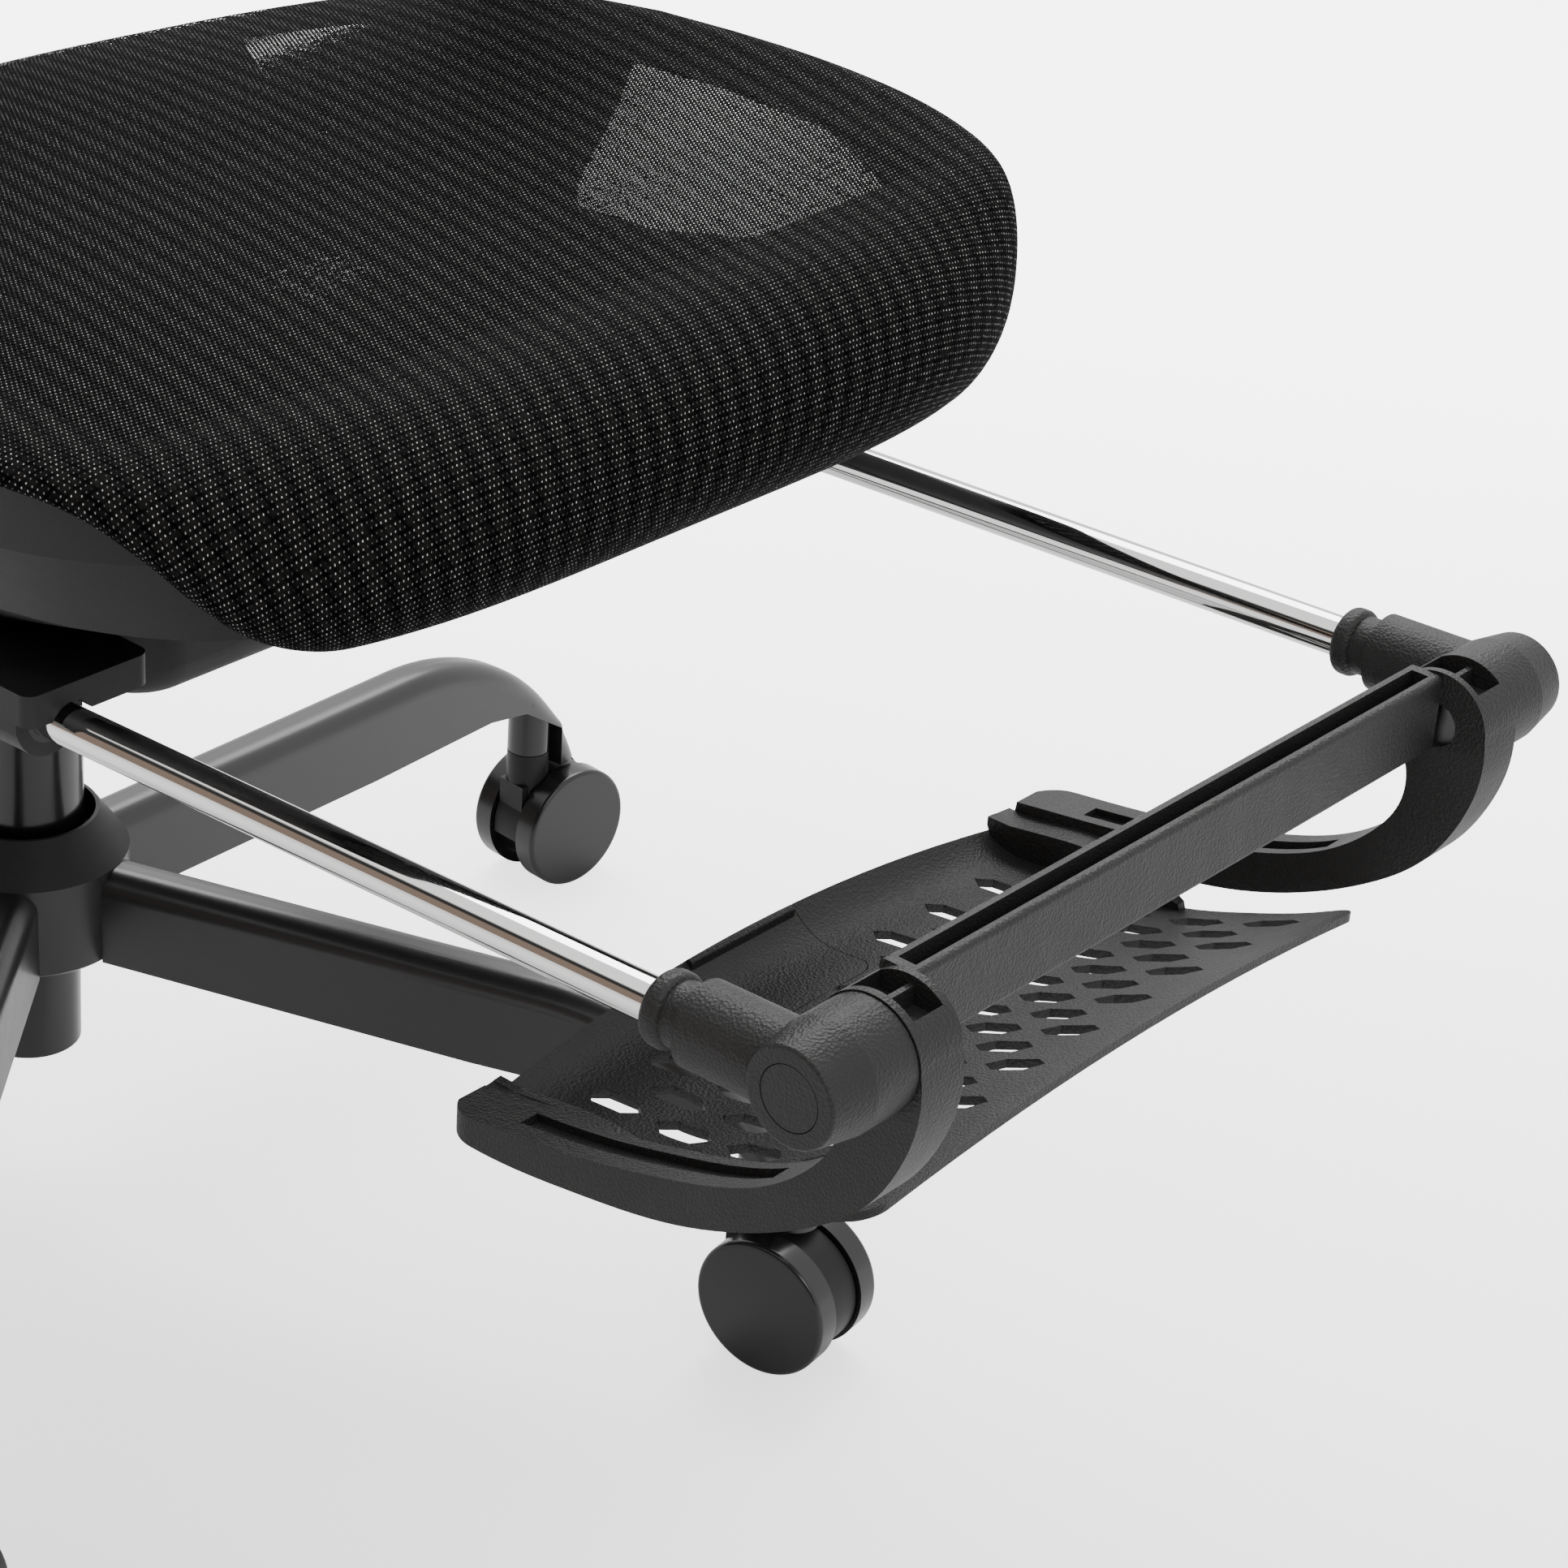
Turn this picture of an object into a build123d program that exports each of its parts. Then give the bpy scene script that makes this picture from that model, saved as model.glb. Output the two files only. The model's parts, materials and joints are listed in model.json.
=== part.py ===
from build123d import *
import os
from math import cos, sin, radians, pi, copysign, hypot, atan2

# Task chair with a mesh seat and a pull-out footrest that turns over.
# Millimetres, +Z up. The origin is on the floor, on the axis of the gas column.
# The sitter faces -Y and the sitter's left hand is on +X.

# ---------------------------------------------------------------- dimensions
# star base
HUB_R = 44.0
HUB_LOW = 115.0
HUB_HIGH = 157.0
COVER_HIGH = 175.0
COVER_LIP_R = 31.5
ARM_COUNT = 5
ARM_FIRST_DEG = -68.2
ARM_W = 25.0
ARM_TOP_EDGE_R = 10.0
ARM_TOP = 157.0
ARM_SLOPE = 0.028
ARM_BEND_R = 240.0
NOSE_R = 366.0
NOSE_LOW = 64.0
NOSE_IN_R = 350.6
STEM_CIRCLE_R = 339.5

# casters: twin wheels on one axle, behind an offset stem
WHEEL_R = 31.2
WHEEL_W = 12.0
WHEEL_OUT = 21.6
WHEEL_EDGE = 2.2
AXLE_R = 3.0
TRAIL = 16.0
HOOD_R = 29.3
HOOD_W = 16.6
HOOD_LOW = 14.0
NECK_R = 10.5
NECK_TOP = 73.5
NECK_CUT = 99.0
STEM_R = 5.5
SOCKET_R = 7.0
SOCKET_LOW = 74.0
SOCKET_HIGH = 92.0
STEM_TOP = 89.5
CASTER_AXLE_DEG = (187.1, -94.2, 118.0, 63.0, 205.0)

# gas column
COLUMN_LOW = 61.7
COLUMN_TOP = 300.0
COLUMN_R = 25.0
COLUMN_FOOT_R = 22.0
COLUMN_BORE_R = 23.2
CYLINDER_R = 14.0
CYLINDER_BORE_R = 12.0
CYLINDER_LOW = 100.0
CYLINDER_TOP = 356.0
PISTON_ROD_R = 5.0
PISTON_TOP = 272.0
RUN_GAP = 0.06

# tilt mechanism under the seat
HOUSING_X = 68.0
HOUSING_FRONT = -108.0
HOUSING_REAR = 112.0
HOUSING_LOW = 328.0
PLATE_LOW = 384.0
BACK_PIVOT_Y = 92.0
BACK_PIVOT_Z = 352.0
PIVOT_PIN_R = 6.0
LEVER_R = 4.0
LEVER_Z = 344.0
HEIGHT_LEVER_Y = -30.0
LOCK_LEVER_Y = 25.0
KNOB_R = 24.0
KNOB_Z = 352.0

# seat: superellipse outline, upper surface by its side profile
SEAT_HALF_W = 263.0
SEAT_FRONT = -374.0
SEAT_REAR = 114.0
SEAT_POWER = 3.7
MESH_T = 6.0
SHELL_T = 3.5
SHELL_LOW = 392.0
SHELL_STEP = 429.0
SHELL_TOP = 505.0

# pull-out footrest
ROD_X = 185.0
ROD_R = 7.5
ROD_RISE = 0.036
ROD_REF_Y = -518.6
ROD_REF_Z = 385.0
ROD_REAR = -112.0
GUIDE_FRONT = -252.0
GUIDE_REAR = -122.0
PIVOT_Y = -581.7
PIVOT_Z = 388.2
ELBOW_IN = 165.4
ELBOW_OUT = 201.0
ELBOW_R = 19.4
BARREL_R = 14.4
CAP_R = 10.7
LINK_IN = 145.0
LINK_OUT = 165.0
LINK_RING_R = 20.0
LINK_GROOVE = 3.0
PIN_R = 8.0
BAR_Y = -575.0
BAR_W = 14.0
BAR_LOW = 378.0
BAR_HIGH = 407.0
LINK_TIP_R = 14.0
PAD_T = 3.6
PAD_HALF = 137.0
PAD_REACH = LINK_IN - 0.1
PAD_FRONT = -568.0
PAD_REAR = -399.0
PAD_BOW = 8.0
PAD_CORNER_R = 8.0
PAD_TAPER_FRONT = -495.0
PAD_TAPER_REAR = -470.0
PAD_SPARE = 2.0
HOLE_ROWS = 8
HOLE_FIRST_Y = -542.0
HOLE_PITCH_X = 30.3
HOLE_PITCH_Y = 15.5
HOLE_LONG = 24.0
HOLE_WIDE = 9.0
HOLE_SHOULDER = 5.5
HOLE_MARGIN = 10.0
PULL_X = -5.0
PULL_HALF = 30.0
PULL_FRONT = -441.0
PULL_GRIP_HALF = 28.0
PULL_GRIP_TOP = 287.0

# backrest and armrests
BACK_HALF_W = 228.0
BACK_LOW = 545.0
BACK_HIGH = 1035.0
BACK_POWER = 3.4
BACK_RIM = 24.0
ARMREST_X = 303.0
ARMREST_Y = 28.0
ARMREST_PAD_TOP = 700.0


# ---------------------------------------------------------------- helpers
def save(name, shape):
    export_step(shape, f"parts/{name}.step")


def pillar(radius, low, high, x=0.0, y=0.0):
    return Pos(x, y, low) * Cylinder(radius, high - low, align=(Align.CENTER, Align.CENTER, Align.MIN))


def cone(r_low, r_high, low, high, x=0.0, y=0.0):
    return Pos(x, y, low) * Cone(r_low, r_high, high - low, align=(Align.CENTER, Align.CENTER, Align.MIN))


def block(x0, x1, y0, y1, z0, z1):
    return Pos((x0 + x1) / 2, (y0 + y1) / 2, (z0 + z1) / 2) * Box(x1 - x0, y1 - y0, z1 - z0)


def bar(start, end, radius):
    start, end = Vector(*start), Vector(*end)
    step = end - start
    return extrude(Plane(origin=start, z_dir=step.normalized()) * Circle(radius), step.length)


def cross_rod(x0, x1, y, z, radius):
    return bar((x0, y, z), (x1, y, z), radius)


def cross_cone(x0, x1, y, z, r0, r1):
    base = Plane(origin=(x0, y, z), z_dir=(copysign(1, x1 - x0), 0, 0))
    return base * Cone(r0, r1, abs(x1 - x0), align=(Align.CENTER, Align.CENTER, Align.MIN))


def side_face(outline):
    """A face in the YZ plane from a closed list of (y, z) points."""
    return make_face(Polyline(*[(0, y, z) for y, z in outline], close=True))


def prism_x(face, x0, x1):
    return Pos(x0, 0, 0) * extrude(face, x1 - x0, dir=(1, 0, 0))


def shifted(points, gap):
    """The (y, z) curve moved sideways by gap, to the right of its direction."""
    out = []
    for i, (y, z) in enumerate(points):
        y0, z0 = points[max(i - 1, 0)]
        y1, z1 = points[min(i + 1, len(points) - 1)]
        run = hypot(y1 - y0, z1 - z0)
        out.append((y + gap * (z1 - z0) / run, z - gap * (y1 - y0) / run))
    return out


def strip_face(points, thick):
    """A strip in the YZ plane: a smooth curve through points and its copy thick to the right."""
    near = Spline(*[(0, y, z) for y, z in points])
    far = Spline(*[(0, y, z) for y, z in shifted(points, thick)])
    first = Line(near @ 0, far @ 0)
    last = Line(near @ 1, far @ 1)
    return make_face([near, last, far, first])


def superellipse(half_w, low, high, power, count=40):
    """Closed smooth outline as (u, v) points, with half_w each side and v from low to high."""
    mid, half = (low + high) / 2, (high - low) / 2
    points = []
    for i in range(count):
        t = 2 * pi * (i + 0.5) / count
        u = half_w * copysign(abs(cos(t)) ** (2 / power), cos(t))
        v = mid + half * copysign(abs(sin(t)) ** (2 / power), sin(t))
        points.append((u, v))
    return points


def plan_face(points, z):
    return make_face(Spline(*[(x, y, z) for x, y in points], periodic=True))


def front_face(points, y):
    return make_face(Spline(*[(x, y, z) for x, z in points], periodic=True))


def rod_z(y):
    """Height of a footrest rod's axis at y: the rods rise a little toward the front."""
    return ROD_REF_Z - ROD_RISE * (y - ROD_REF_Y)


def along_rod(x, y0, y1, radius):
    return bar((x, y0, rod_z(y0)), (x, y1, rod_z(y1)), radius)


# ---------------------------------------------------------------- star base
def arm_profile():
    """Side outline of a base arm in the XZ plane: straight to the bend, then curved down over the caster."""
    root = (30, 0, ARM_TOP)
    bend = (ARM_BEND_R, 0, ARM_TOP + (30 - ARM_BEND_R) * ARM_SLOPE)
    top = Line(root, bend)
    nose = TangentArc(bend, (NOSE_R, 0, NOSE_LOW), tangent=top % 1)
    lip = Line(nose @ 1, (NOSE_IN_R, 0, NOSE_LOW))
    belly = Polyline(lip @ 1, (NOSE_IN_R, 0, 85.0), (322, 0, 103.5), (295, 0, 108.5), (212, 0, 109.0), (30, 0, 115.0))
    return make_face([top, nose, lip, belly, Line(belly @ 1, top @ 0)])


def arm_blank():
    body = Pos(0, -ARM_W / 2, 0) * extrude(arm_profile(), ARM_W, dir=(0, 1, 0))
    return fillet([e for e in body.edges() if e.length > 100 and e.center().Z > 115], ARM_TOP_EDGE_R)


def base_arm(index):
    body = arm_blank() - pillar(HUB_R, 60, 200) - pillar(SOCKET_R, 50, SOCKET_HIGH, STEM_CIRCLE_R)
    return Rot(0, 0, arm_angle(index)) * body


def arm_angle(index):
    return ARM_FIRST_DEG + 360 / ARM_COUNT * index


def stem_place(index):
    turn = radians(arm_angle(index))
    return STEM_CIRCLE_R * cos(turn), STEM_CIRCLE_R * sin(turn)


def stem_sockets():
    """Collars under the arms' ends, each with a sleeve that holds a caster's stem."""
    collar = pillar(NECK_R, SOCKET_LOW, NECK_CUT, STEM_CIRCLE_R) - arm_blank()
    collar = collar.solids().sort_by(Axis.Z)[0] + pillar(SOCKET_R, SOCKET_LOW, SOCKET_HIGH, STEM_CIRCLE_R)
    collar -= pillar(STEM_R + RUN_GAP, SOCKET_LOW, STEM_TOP + 0.5, STEM_CIRCLE_R)
    return Compound(children=[Rot(0, 0, arm_angle(index)) * collar for index in range(ARM_COUNT)])


def column_outline():
    return [(COLUMN_FOOT_R, COLUMN_LOW), (COLUMN_FOOT_R + 0.5, HUB_LOW), (COLUMN_R - 0.3, HUB_HIGH),
            (COLUMN_R, HUB_HIGH + 4), (COLUMN_R, COLUMN_TOP)]


def turned(outline, r_in=0.0):
    """A solid of revolution about Z from (radius, height) points and a straight bore."""
    points = [(r_in, outline[0][1])] + outline + [(r_in, outline[-1][1])]
    face = make_face(Polyline(*[(r, 0, z) for r, z in points], close=True))
    return revolve(face, Axis.Z)


def base_hub():
    body = pillar(HUB_R, HUB_LOW, HUB_HIGH)
    body = chamfer(body.edges().group_by(Axis.Z)[0], 1.2)
    return body - turned(column_outline())


def hub_cover():
    body = cone(HUB_R, COVER_LIP_R, HUB_HIGH, COVER_HIGH)
    body -= pillar(COVER_LIP_R - 1.6, HUB_HIGH + 5, COVER_HIGH)
    return body - turned(column_outline())


def column_tube():
    return turned(column_outline()) - pillar(COLUMN_BORE_R, COLUMN_LOW + 60, COLUMN_TOP) \
        - pillar(COLUMN_FOOT_R - 2, COLUMN_LOW + 4, COLUMN_LOW + 60) - pillar(PISTON_ROD_R + RUN_GAP, 50, 70)


def column_bushing():
    low = COLUMN_TOP - 62
    body = pillar(COLUMN_BORE_R, low, COLUMN_TOP) + pillar(COLUMN_R, COLUMN_TOP, COLUMN_TOP + 4)
    return body - pillar(CYLINDER_R + RUN_GAP, low, COLUMN_TOP + 4)


def thrust_bearing():
    low = COLUMN_LOW + 4
    return pillar(14, low, low + 7) - pillar(PISTON_ROD_R + RUN_GAP, low, low + 7)


def piston_rod():
    body = pillar(PISTON_ROD_R, COLUMN_LOW, PISTON_TOP)
    body += pillar(8.0, COLUMN_LOW + 11.2, COLUMN_LOW + 14)
    return body + pillar(CYLINDER_BORE_R - RUN_GAP, PISTON_TOP - 10, PISTON_TOP)


def gas_cylinder():
    body = pillar(CYLINDER_R, CYLINDER_LOW, CYLINDER_TOP - 40)
    body += cone(CYLINDER_R, CYLINDER_R - 1.0, CYLINDER_TOP - 40, CYLINDER_TOP)
    body -= pillar(CYLINDER_BORE_R, CYLINDER_LOW + 8, CYLINDER_TOP - 12)
    body -= pillar(PISTON_ROD_R + RUN_GAP, CYLINDER_LOW, CYLINDER_LOW + 8)
    return body - pillar(4.0 + RUN_GAP, CYLINDER_TOP - 12, CYLINDER_TOP)


def release_pin():
    return fillet(pillar(4.0, CYLINDER_TOP - 18, CYLINDER_TOP + 6).edges().group_by(Axis.Z)[-1], 1.5)


# ---------------------------------------------------------------- casters
def caster_frame(index):
    """Stem, neck and hood, drawn with the axle along X and the stem at y = 0."""
    body = pillar(NECK_R, 30, NECK_TOP)
    hood = cross_rod(-HOOD_W / 2, HOOD_W / 2, TRAIL, WHEEL_R, HOOD_R)
    hood += block(-HOOD_W / 2, HOOD_W / 2, -NECK_R, TRAIL, WHEEL_R - 4, WHEEL_R + 26)
    body += hood
    body -= block(-40, 40, -60, 80, -10, HOOD_LOW)
    body -= block(-40, 40, -60, TRAIL - 8, -10, WHEEL_R - 4)
    for side in (-1, 1):
        body -= cross_rod(side * (WHEEL_OUT - WHEEL_W - 0.9), side * 40, TRAIL, WHEEL_R, WHEEL_R + 1.0)
    body -= cross_rod(-20, 20, TRAIL, WHEEL_R, AXLE_R + RUN_GAP)
    body += pillar(STEM_R, NECK_TOP - 1, STEM_TOP)
    return caster_place(index) * body


def caster_wheels(index):
    parts = [cross_rod(-WHEEL_OUT + 1.5, WHEEL_OUT - 1.5, TRAIL, WHEEL_R, AXLE_R)]
    for side in (-1, 1):
        inner = WHEEL_OUT - WHEEL_W
        wheel = cross_rod(side * inner, side * WHEEL_OUT, TRAIL, WHEEL_R, WHEEL_R)
        rims = wheel.edges().sort_by(Axis.X)
        wheel = fillet(rims[-1] if side > 0 else rims[0], WHEEL_EDGE)
        wheel -= cross_rod(side * inner, side * (inner + 4), TRAIL, WHEEL_R, WHEEL_R - 5)
        wheel += cross_rod(side * (inner - 0.6), side * (inner + 5), TRAIL, WHEEL_R, 6)
        wheel -= cross_rod(side * (inner - 2), side * (WHEEL_OUT - 1.5), TRAIL, WHEEL_R, AXLE_R)
        parts.append(wheel)
    return Compound(children=[caster_place(index) * part for part in parts])


def caster_place(index):
    x, y = stem_place(index)
    return Pos(x, y, 0) * Rot(0, 0, CASTER_AXLE_DEG[index])


# ---------------------------------------------------------------- seat
def seat_profile():
    """The mesh's upper side as (y, z) points from its front hem over the top to its rear hem."""
    return [(-352, 430.5), (-366, 439), (-373, 455), (-369, 473), (-350, 491), (-312, 503), (-255, 509.5),
            (-190, 512), (-128, 509.5), (-60, 502), (0, 491.5), (60, 475.5), (113, 459)]


def seat_mesh():
    sheet = prism_x(strip_face(seat_profile(), MESH_T), -SEAT_HALF_W - 5, SEAT_HALF_W + 5)
    outline = superellipse(SEAT_HALF_W, SEAT_FRONT, SEAT_REAR, SEAT_POWER)
    return sheet & extrude(plan_face(outline, 400), 140)


def shell_levels(inset, rise):
    """The under-shell's outlines: its floor, the step where its walls turn up, its flank twice and its rim."""
    sizes = [(182, -252, 62, SHELL_LOW), (222, -348, 90, SHELL_STEP), (243, -353, 104, 462), (253, -353, 108, 491),
             (257, -354, 110, SHELL_TOP)]
    faces = []
    for half_w, front, rear, z in sizes:
        outline = superellipse(half_w - inset, front + inset, rear - inset, SEAT_POWER)
        faces.append(plan_face(outline, z + rise))
    return faces


def above_mesh():
    """Everything over the underside of the mesh, which the shell's rim is cut back to."""
    under = shifted(seat_profile(), MESH_T + 1.6)
    hem_y, hem_z = seat_profile()[0]
    outline = [(-500, hem_z - 1), (hem_y + 1, hem_z - 1)] + under + [(300, under[-1][1]), (300, 700), (-500, 700)]
    return prism_x(side_face(outline), -300, 300)


def side_window(outline, radius):
    face = fillet(side_face(outline).vertices(), radius)
    return prism_x(face, -300, -186) + prism_x(face, 186, 300)


def seat_shell():
    body = loft(shell_levels(0, 0), ruled=True) - loft(shell_levels(SHELL_T, SHELL_T), ruled=True)
    body -= above_mesh()
    body -= side_window([(-292, 462), (-215, 482), (-104, 484), (-98, 424), (-150, 426), (-225, 440)], 9)
    body -= side_window([(22, 470), (76, 456), (66, 424), (22, 418)], 8)
    for side in (-1, 1):
        body -= block(*sorted((side * 104, side * 158)), -62, 38, 380, 400)
        body -= block(*sorted((side * 104, side * 158)), -232, -128, 394, 400)
    for x, y in bolt_places():
        body -= pillar(3.1, 380, 400, x, y)
    for x, y in guide_screw_places():
        body -= pillar(2.1, 380, 400, x, y)
    return body


def bolt_places():
    return [(side * 80, y) for side in (-1, 1) for y in (-80, 46)]


def guide_screw_places():
    return [(side * 162, y) for side in (-1, 1) for y in (-194, -146)]


def seat_bolts():
    bolts = []
    for x, y in bolt_places():
        shank = pillar(3.0, PLATE_LOW - 0.2, SHELL_LOW + SHELL_T + 3, x, y)
        head = pillar(5.5, PLATE_LOW - 5, PLATE_LOW - 0.2, x, y)
        bolts.append(shank + head + pillar(6.5, SHELL_LOW + SHELL_T, SHELL_LOW + SHELL_T + 5, x, y))
    return Compound(children=bolts)


def guide_screws():
    screws = []
    for x, y in guide_screw_places():
        shank = pillar(2.0, SHELL_LOW - 8, SHELL_LOW + SHELL_T, x, y)
        screws.append(shank + pillar(4.0, SHELL_LOW + SHELL_T, SHELL_LOW + SHELL_T + 2.5, x, y))
    return Compound(children=screws)


# ---------------------------------------------------------------- tilt mechanism
def tilt_housing():
    body = block(-HOUSING_X, HOUSING_X, HOUSING_FRONT, HOUSING_REAR, HOUSING_LOW, PLATE_LOW)
    body = fillet(body.edges().filter_by(Axis.Z), 16)
    body -= block(-HOUSING_X + 4, HOUSING_X - 4, HOUSING_FRONT + 5, HOUSING_REAR + 5, HOUSING_LOW + 4, PLATE_LOW)
    boss = pillar(24, HOUSING_LOW, CYLINDER_TOP - 2)
    body += boss
    body -= block(-HOUSING_X + 4, HOUSING_X - 4, 74, HOUSING_REAR + 5, HOUSING_LOW - 1, HOUSING_LOW + 5)
    body -= pillar(CYLINDER_R, HOUSING_LOW - 1, CYLINDER_TOP - 12)
    body -= pillar(CYLINDER_R - 0.7, CYLINDER_TOP - 12.5, CYLINDER_TOP + 3)
    body -= gas_cylinder()
    body -= cross_rod(-HOUSING_X - 1, HOUSING_X + 1, BACK_PIVOT_Y, BACK_PIVOT_Z, PIVOT_PIN_R)
    body -= cross_rod(-HOUSING_X - 1, 0, HEIGHT_LEVER_Y, LEVER_Z, LEVER_R + RUN_GAP)
    body -= cross_rod(0, HOUSING_X + 1, LOCK_LEVER_Y, LEVER_Z, LEVER_R + RUN_GAP)
    body -= bar((0, HOUSING_FRONT - 1, KNOB_Z), (0, HOUSING_FRONT + 6, KNOB_Z), 5 + RUN_GAP)
    return body


def tilt_plate():
    body = block(-92, 92, -112, 70, PLATE_LOW, SHELL_LOW)
    body = fillet(body.edges().filter_by(Axis.Z), 18)
    body -= pillar(22, PLATE_LOW - 1, SHELL_LOW + 1)
    for x, y in bolt_places():
        body -= pillar(3.1, PLATE_LOW - 1, SHELL_LOW + 1, x, y)
    return body


def front_tray():
    """Moulded tray that joins the two rod guides in front of the mechanism."""
    body = block(-146, 146, -236, -150, 358, SHELL_LOW)
    body = fillet(body.edges().filter_by(Axis.Z), 26)
    return fillet(body.edges().group_by(Axis.Z)[0], 13)


def tension_spring():
    coil = Helix(pitch=9, height=54, radius=11, center=(0, HOUSING_FRONT + 12, KNOB_Z), direction=(0, 1, 0))
    section = Plane(origin=coil @ 0, z_dir=coil % 0) * Circle(1.8)
    return sweep(section, path=coil, is_frenet=True)


def tension_knob():
    body = bar((0, HOUSING_FRONT - 34, KNOB_Z), (0, HOUSING_FRONT - 5, KNOB_Z), KNOB_R)
    body = fillet(body.edges().group_by(Axis.Y)[0], 4)
    for i in range(10):
        turn = 2 * pi * i / 10
        x, z = (KNOB_R + 3) * cos(turn), KNOB_Z + (KNOB_R + 3) * sin(turn)
        body -= bar((x, HOUSING_FRONT - 40, z), (x, HOUSING_FRONT, z), 5)
    return body + bar((0, HOUSING_FRONT - 6, KNOB_Z), (0, HOUSING_FRONT + 68, KNOB_Z), 5)


def lever(side, y):
    """A rod out of the housing's side that carries a flat finger paddle."""
    body = cross_rod(side * 30, side * 214, y, LEVER_Z, LEVER_R)
    paddle = block(*sorted((side * 206, side * 258)), y - 24, y + 10, LEVER_Z - 4.5, LEVER_Z + 4.5)
    paddle = fillet(paddle.edges().filter_by(Axis.Z), 9)
    paddle = fillet(paddle.edges().group_by(Axis.Z)[-1] + paddle.edges().group_by(Axis.Z)[0], 3)
    return body + paddle


def height_lever():
    """Lever on the right whose inner finger lies over the gas cylinder's release pin."""
    body = lever(-1, HEIGHT_LEVER_Y) + cross_rod(-30, 8, HEIGHT_LEVER_Y, LEVER_Z, LEVER_R)
    y = HEIGHT_LEVER_Y
    pin_top = CYLINDER_TOP + 6.3
    web = block(-8, 8, y - 6, y + 2.5, LEVER_Z, pin_top + 6)
    return body + web + block(-6, 6, y - 5, 5, pin_top, pin_top + 6)


def back_pivot_shaft():
    return cross_rod(-HOUSING_X - 4, HOUSING_X + 4, BACK_PIVOT_Y, BACK_PIVOT_Z, PIVOT_PIN_R)


# ---------------------------------------------------------------- footrest
def rod_guide(side):
    x0, x1 = sorted((side * 150, side * 204))
    body = block(x0, x1, GUIDE_FRONT, GUIDE_REAR, 380, SHELL_LOW)
    body = fillet(body.edges().filter_by(Axis.Z), 5)
    lobe = along_rod(side * ROD_X, GUIDE_FRONT + 12, GUIDE_REAR, 14.5)
    web = block(side * ROD_X - 14.5, side * ROD_X + 14.5, GUIDE_FRONT + 12, GUIDE_REAR, 372, 382)
    body += lobe + web
    body &= block(-300, 300, -400, 0, 300, SHELL_LOW)
    body -= along_rod(side * ROD_X, GUIDE_FRONT - 20, GUIDE_REAR + 20, 9.6)
    body -= tray_pocket()
    for x, y in guide_screw_places():
        body -= pillar(2.0, SHELL_LOW - 8, SHELL_LOW + 1, x, y)
    return body


def tray_pocket():
    return block(-146.3, 146.3, -300, -60, 340, 400)


def guide_bushings():
    rings = []
    for side in (-1, 1):
        for y in (GUIDE_FRONT + 12, GUIDE_REAR - 24):
            ring = along_rod(side * ROD_X, y, y + 24, 9.6)
            rings.append(ring - along_rod(side * ROD_X, y - 5, y + 30, ROD_R + RUN_GAP))
    return Compound(children=rings)


def footrest_rod(side):
    x = side * ROD_X
    body = along_rod(x, PIVOT_Y + 34, ROD_REAR, ROD_R)
    return body + along_rod(x, ROD_REAR - 5, ROD_REAR, 9.0)


def elbow(side):
    x = side * ROD_X
    body = cross_cone(side * 184, side * ELBOW_OUT, PIVOT_Y, PIVOT_Z, ELBOW_R, 16.6)
    body += cross_rod(side * ELBOW_IN, side * 184, PIVOT_Y, PIVOT_Z, ELBOW_R)
    body += along_rod(x, PIVOT_Y, PIVOT_Y + 47, BARREL_R)
    body += along_rod(x, PIVOT_Y + 46, PIVOT_Y + 58, 10.8)
    collar = along_rod(x, ROD_REF_Y - 8, ROD_REF_Y, 12.6)
    body += fillet(collar.edges(), 3)
    ends = body.edges().sort_by(Axis.X)
    body = fillet(ends[0] if side < 0 else ends[-1], 1.4)
    body -= along_rod(x, PIVOT_Y + 34, ROD_REF_Y + 5, ROD_R)
    body -= cross_rod(side * (ELBOW_OUT - 3.4), side * (ELBOW_OUT + 1), PIVOT_Y, PIVOT_Z, CAP_R + 0.3)
    return body - cross_rod(side * 160, side * 190, PIVOT_Y, PIVOT_Z, PIN_R)


def elbow_caps():
    caps = []
    for side in (-1, 1):
        cap = cross_rod(side * (ELBOW_OUT - 3.4), side * (ELBOW_OUT - 0.1), PIVOT_Y, PIVOT_Z, CAP_R)
        caps.append(cap)
    return Compound(children=caps)


def pivot_pins():
    pins = [cross_rod(side * (LINK_IN + 3), side * 190, PIVOT_Y, PIVOT_Z, PIN_R) for side in (-1, 1)]
    return Compound(children=pins)


def link_outer():
    """Outer edge of a footrest link as (y, z) points, from the front of its ring down to its tip."""
    return [(-601.5, 390), (-602, 372), (-597, 355), (-585, 335), (-566, 318.5), (-540, 303.5), (-508, 291.5),
            (-470, 284), (-432, 279.5), (-409, 280)]


def link_inner():
    """Inner edge of a footrest link as (y, z) points, from its tip up to its ring."""
    return [(-410, 288.5), (-438, 292.5), (-468, 297.5), (-496, 304.5), (-522, 312.5), (-544, 322.5), (-562, 337),
            (-572, 352), (-571.5, 372)]


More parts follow.
